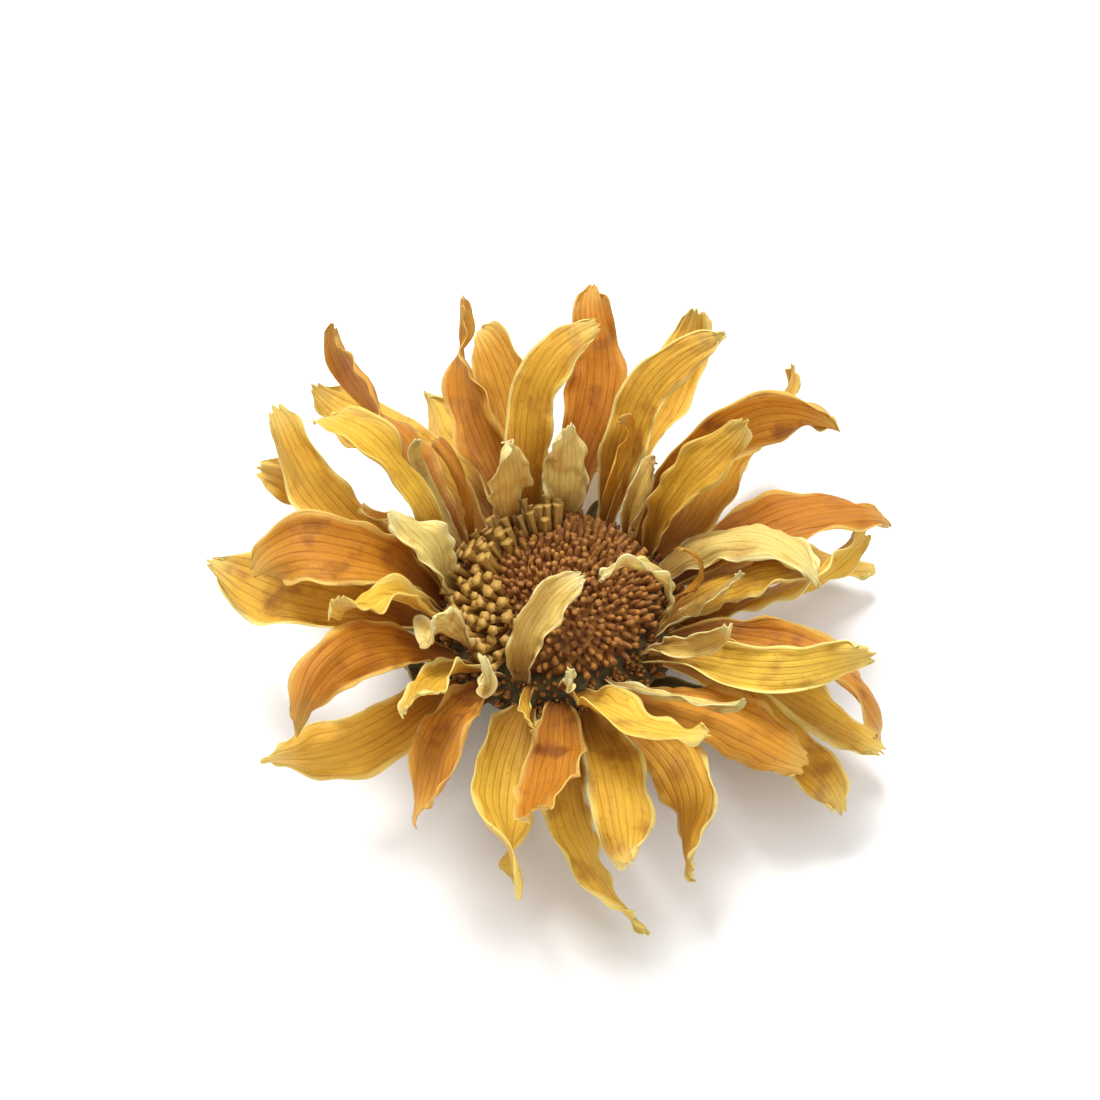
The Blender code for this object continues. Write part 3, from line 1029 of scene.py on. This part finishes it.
@dataclass
class Disc:
    """The mound of dry disc florets in spiral order, with opened golden ones at one side."""

    size: FloretSize = field(default_factory=FloretSize)

    def floret(self, bm: bmesh.types.BMesh, place: Matrix, length: float, radius: float,
               flare: float, shade: float, sides: int = 6, lengthwise: bool = False) -> None:
        """Adds one floret to the mound.

        Args:
            bm: the mound so far.
            place: where the floret's foot is and which way it stands.
            length: its height.
            radius: its radius at the belly.
            flare: its mouth's radius as a share of the belly's.
            shade: how tan its tip is, from 0 to 1; on the brown florets this tan tip is a painted highlight
                on the grain's top.
            sides: its number of sides.
            lengthwise: whether U runs up the floret, as on a petal, in place of V.
        """
        rows = ((0.0, 0.55), (0.35, 0.95), (0.70, 1.0), (0.92, 0.5 + 0.5 * flare), (1.0, flare))
        uv = bm.loops.layers.uv.verify()
        tints = bm.verts.layers.float_color.get("Tint") or bm.verts.layers.float_color.new("Tint")
        foot = radius * rows[0][1]
        made = bmesh.ops.create_circle(bm, segments=sides, radius=foot, cap_ends=True)["verts"]
        rings = [made]
        faces = set(face for vertex in made for face in vertex.link_faces)
        edges = list({edge for vertex in made for edge in vertex.link_edges})
        for height, share in rows[1:]:
            grown = bmesh.ops.extrude_edge_only(bm, edges=edges)["geom"]
            ring = [item for item in grown if isinstance(item, bmesh.types.BMVert)]
            edges = [item for item in grown if isinstance(item, bmesh.types.BMEdge)
                     and all(vertex in ring for vertex in item.verts)]
            scale = radius * share / max(1e-9, ring[0].co.xy.length)
            for vertex in ring:
                vertex.co = Vector((vertex.co.x * scale, vertex.co.y * scale, height * length))
            rings.append(ring)
        bmesh.ops.contextual_create(bm, geom=edges)
        for ring, (height, _) in zip(rings, rows):
            for vertex in ring:
                vertex[tints] = (shade, 0.5 * height, 0.3, 1.0)
                faces.update(vertex.link_faces)
        for face in faces:
            for loop in face.loops:
                rise = loop.vert.co.z / length
                loop[uv].uv = (0.35 + 0.45 * rise, 0.5) if lengthwise else (0.5, rise)
        bmesh.ops.transform(bm, matrix=place, verts=[vertex for ring in rings for vertex in ring])

    def mound(self) -> bmesh.types.BMesh:
        """Turns the dome under the florets.

        Returns:
            The dome.
        """
        floor = CUP_TOP_HEIGHT + CLEARANCE
        radius, height = MOUND_SPREAD * DISC_RADIUS, MOUND_RISE * DISC_HEIGHT
        profile = [(0.0, floor), (radius, floor)]
        for row in range(1, MOUND_ROWS):
            angle = 0.5 * math.pi * row / MOUND_ROWS
            profile.append((radius * math.cos(angle), floor + height * math.sin(angle)))
        profile.append((0.0, floor + height))
        bm = turned(profile, MOUND_SEGMENTS)
        bm.loops.layers.uv.verify()
        tints = bm.verts.layers.float_color.new("Tint")
        for vertex in bm.verts:
            vertex[tints] = (0.0, 0.0, 0.0, 1.0)
        return bm

    def build(self, builder: Builder) -> None:
        """Builds the brown mound and the golden open florets.

        Args:
            builder: what makes the pieces.
        """
        size = self.size
        rng = random.Random(5)
        brown = self.mound()
        golden = bmesh.new()
        floor = CUP_TOP_HEIGHT + CLEARANCE
        for index in range(size.count):
            share = math.sqrt((index + 0.5) / size.count)
            turn = index * GOLDEN_ANGLE
            radius = DISC_RADIUS * 0.96 * share
            height = floor + 0.80 * DISC_HEIGHT * math.sqrt(max(0.0, 1.0 - (0.97 * share) ** 2))
            lean = 1.15 * share**1.6 + rng.uniform(-0.22, 0.22)
            twist = Matrix.Rotation(rng.uniform(0.0, math.tau), 4, "Z")
            foot = Vector((radius * math.cos(turn), radius * math.sin(turn), height - 0.25 * MM))
            stand = Matrix.Rotation(turn + rng.uniform(-0.2, 0.2), 4, "Z") @ Matrix.Rotation(lean, 4, "Y")
            place = Matrix.Translation(foot) @ stand @ twist
            sideways = math.cos(turn - OPEN_SIDE)
            opened = share > 0.60 and sideways > 0.20 and rng.random() < 0.7
            if opened:
                self.floret(golden, place, size.open_length * rng.uniform(0.75, 1.1),
                            size.open_radius * rng.uniform(0.7, 1.1), 1.75, rng.uniform(0.1, 0.9), 5, True)
                continue
            grow = rng.uniform(0.75, 1.2)
            self.floret(brown, place, size.length * grow * (1.0 - 0.3 * (1.0 - share)),
                        size.radius * rng.uniform(0.85, 1.15), rng.choice((0.35, 0.6, 1.1)),
                        rng.uniform(0.1, 1.0))
        for _ in range(size.stubs):
            share = rng.uniform(0.04, 0.98)
            turn = rng.uniform(0.0, math.tau)
            radius = CUP_RIM_RADIUS + (CUP_TOP_RADIUS - 0.4 * MM - CUP_RIM_RADIUS) * share
            height = CUP_RIM_HEIGHT + (CUP_TOP_HEIGHT - CUP_RIM_HEIGHT) * share - 0.2 * MM
            stand = Matrix.Rotation(turn, 4, "Z") @ Matrix.Rotation(rng.uniform(0.2, 1.1), 4, "Y")
            place = Matrix.Translation((radius * math.cos(turn), radius * math.sin(turn), height)) @ stand
            self.floret(brown, place, size.length * rng.uniform(0.5, 0.95),
                        size.radius * rng.uniform(0.6, 1.0), 0.4, rng.uniform(0.0, 0.7), 5)
        builder.piece("disc_florets", brown, Slot.DISC, ("disc_florets",))
        builder.piece("open_florets", golden, Slot.ORANGE, ())


@dataclass(frozen=True)
class Cup:
    """The wrinkled receptacle, flat underneath where it was plucked from its stem."""

    segments: int = 96
    ribs: int = 17

    def build(self, builder: Builder) -> None:
        """Builds the cup.

        Args:
            builder: what makes the piece.
        """
        profile = [(0.0, 0.0), (1.1 * MM, 0.0), (1.3 * MM, 0.0), (CUP_BASE_RADIUS - 0.1 * MM, 0.0)]
        corners = [
            Vector((CUP_BASE_RADIUS, 0.02 * MM)),
            Vector((CUP_WAIST_RADIUS, CUP_WAIST_HEIGHT)),
            Vector((CUP_RIM_RADIUS - 2.6 * MM, CUP_RIM_HEIGHT - 2.2 * MM)),
            Vector((CUP_RIM_RADIUS - 0.4 * MM, CUP_RIM_HEIGHT - 0.6 * MM)),
            Vector((CUP_RIM_RADIUS, CUP_RIM_HEIGHT)),
            Vector((CUP_TOP_RADIUS, CUP_TOP_HEIGHT)),
        ]
        for lower, upper in zip(corners, corners[1:]):
            for step in range(6):
                profile.append(tuple(lower.lerp(upper, step / 6)))
        profile += [tuple(corners[-1]), (CUP_TOP_RADIUS * 0.5, CUP_TOP_HEIGHT), (0.0, CUP_TOP_HEIGHT)]
        bm = turned(profile, self.segments)
        uv = bm.loops.layers.uv.verify()
        for vertex in bm.verts:
            flat = vertex.co.z < 0.01 * MM or vertex.co.xy.length < CUP_BASE_RADIUS
            if flat:
                continue
            azimuth = math.atan2(vertex.co.y, vertex.co.x)
            rib = 0.10 * MM * math.cos(self.ribs * azimuth)
            rough = 0.22 * MM * noise.noise(vertex.co * 900.0)
            outward = Vector((vertex.co.x, vertex.co.y, 0.0)).normalized()
            vertex.co -= outward * (0.14 * MM + rib + rough)
        for face in bm.faces:
            for loop in face.loops:
                loop[uv].uv = (math.atan2(loop.vert.co.y, loop.vert.co.x) / math.tau,
                               loop.vert.co.z / CUP_TOP_HEIGHT)
        builder.piece("receptacle", bm, Slot.CUP, ("receptacle",), (0.7, 0.5, 0.3))


@dataclass(frozen=True)
class Studio:
    """Pale floor, soft lights and a camera that looks down on the head."""

    elevation: float = math.radians(52.0)
    lens: float = 90.0
    fill: float = 0.64
    floor_size: float = 3.0

    def floor(self) -> None:
        """Lays the plain floor under the lowest point."""
        bm = bmesh.new()
        bmesh.ops.create_grid(bm, x_segments=1, y_segments=1, size=0.5 * self.floor_size)
        mesh = bpy.data.meshes.new("floor")
        bm.to_mesh(mesh)
        bm.free()
        n = Nodes("floor_white")
        n.shader.inputs["Base Color"].default_value = (0.93, 0.93, 0.93, 1.0)
        n.shader.inputs["Roughness"].default_value = 0.9
        mesh.materials.append(n.material)
        thing = bpy.data.objects.new("floor", mesh)
        bpy.context.collection.objects.link(thing)

    def lamp(self, name: str, azimuth: float, elevation: float, power: float, size: float) -> None:
        """Hangs one soft square light that faces the head.

        Args:
            name: the light's name.
            azimuth: its direction round the head.
            elevation: its angle above the surface.
            power: its power in watts.
            size: the side of its square.
        """
        data = bpy.data.lights.new(name, "AREA")
        data.energy = power
        data.size = size
        thing = bpy.data.objects.new(name, data)
        away = Vector((math.cos(elevation) * math.cos(azimuth), math.cos(elevation) * math.sin(azimuth),
                       math.sin(elevation)))
        thing.location = away * LIGHT_DISTANCE
        thing.rotation_euler = away.to_track_quat("Z", "Y").to_euler()
        bpy.context.collection.objects.link(thing)

    def camera(self, low: Vector, high: Vector) -> None:
        """Aims the camera at the middle of the head.

        Args:
            low: the lowest corner of the head's box.
            high: its highest corner.
        """
        data = bpy.data.cameras.new("camera")
        data.lens = self.lens
        thing = bpy.data.objects.new("camera", data)
        centre = 0.5 * (low + high)
        frame_width = (high.x - low.x) / self.fill
        away = Vector((0.0, -math.cos(self.elevation), math.sin(self.elevation)))
        distance = frame_width * self.lens / data.sensor_width
        data.clip_start = 0.01
        data.shift_y = 0.03
        thing.location = centre + away * distance
        thing.rotation_euler = away.to_track_quat("Z", "Y").to_euler()
        bpy.context.collection.objects.link(thing)
        bpy.context.scene.camera = thing

    def build(self, low: Vector, high: Vector) -> None:
        """Sets up the floor, the lights, the sky and the camera.

        Args:
            low: the lowest corner of the head's box.
            high: its highest corner.
        """
        self.floor()
        self.lamp("key_light", math.radians(115.0), math.radians(62.0), 4.3, 0.30)
        self.lamp("fill_light", math.radians(-50.0), math.radians(50.0), 1.6, 0.6)
        world = bpy.data.worlds.new("studio")
        world.use_nodes = True
        world.node_tree.nodes["Background"].inputs[0].default_value = (1.0, 0.99, 0.97, 1.0)
        world.node_tree.nodes["Background"].inputs[1].default_value = 0.60
        bpy.context.scene.world = world
        bpy.context.scene.view_settings.view_transform = "Standard"
        self.camera(low, high)


def main() -> None:
    """Builds the head's pieces in order and the studio around them."""
    logging.basicConfig(level=logging.INFO, format="%(message)s")
    builder = Builder(Palette())
    Cup().build(builder)
    Disc().build(builder)
    petal = StrapDetail()
    bract = StrapDetail(columns=10, thickness=0.14 * MM, ridge=0.05 * MM, ripple=0.16 * MM, wander=0.10 * MM,
                        teeth=0.02, veins=3)
    layout = Layout()
    for name, (slot, strap) in list(layout.run().items()):
        detail = bract if slot is Slot.BRACT else petal
        StrapPiece(name, slot, strap, detail).build(builder, (name,))
    wisp = StrapDetail(columns=8, ripple=0.25 * MM, wander=0.3 * MM)
    for name, (slot, strap) in layout.wisps().items():
        StrapPiece(name, slot, strap, wisp).build(builder, ())
    low, high = (Vector(corner) for corner in CAD_BOUNDS)
    Studio().build(low, high)
    LOG.info("%d pieces", builder.count)


if __name__ == "__main__":
    main()
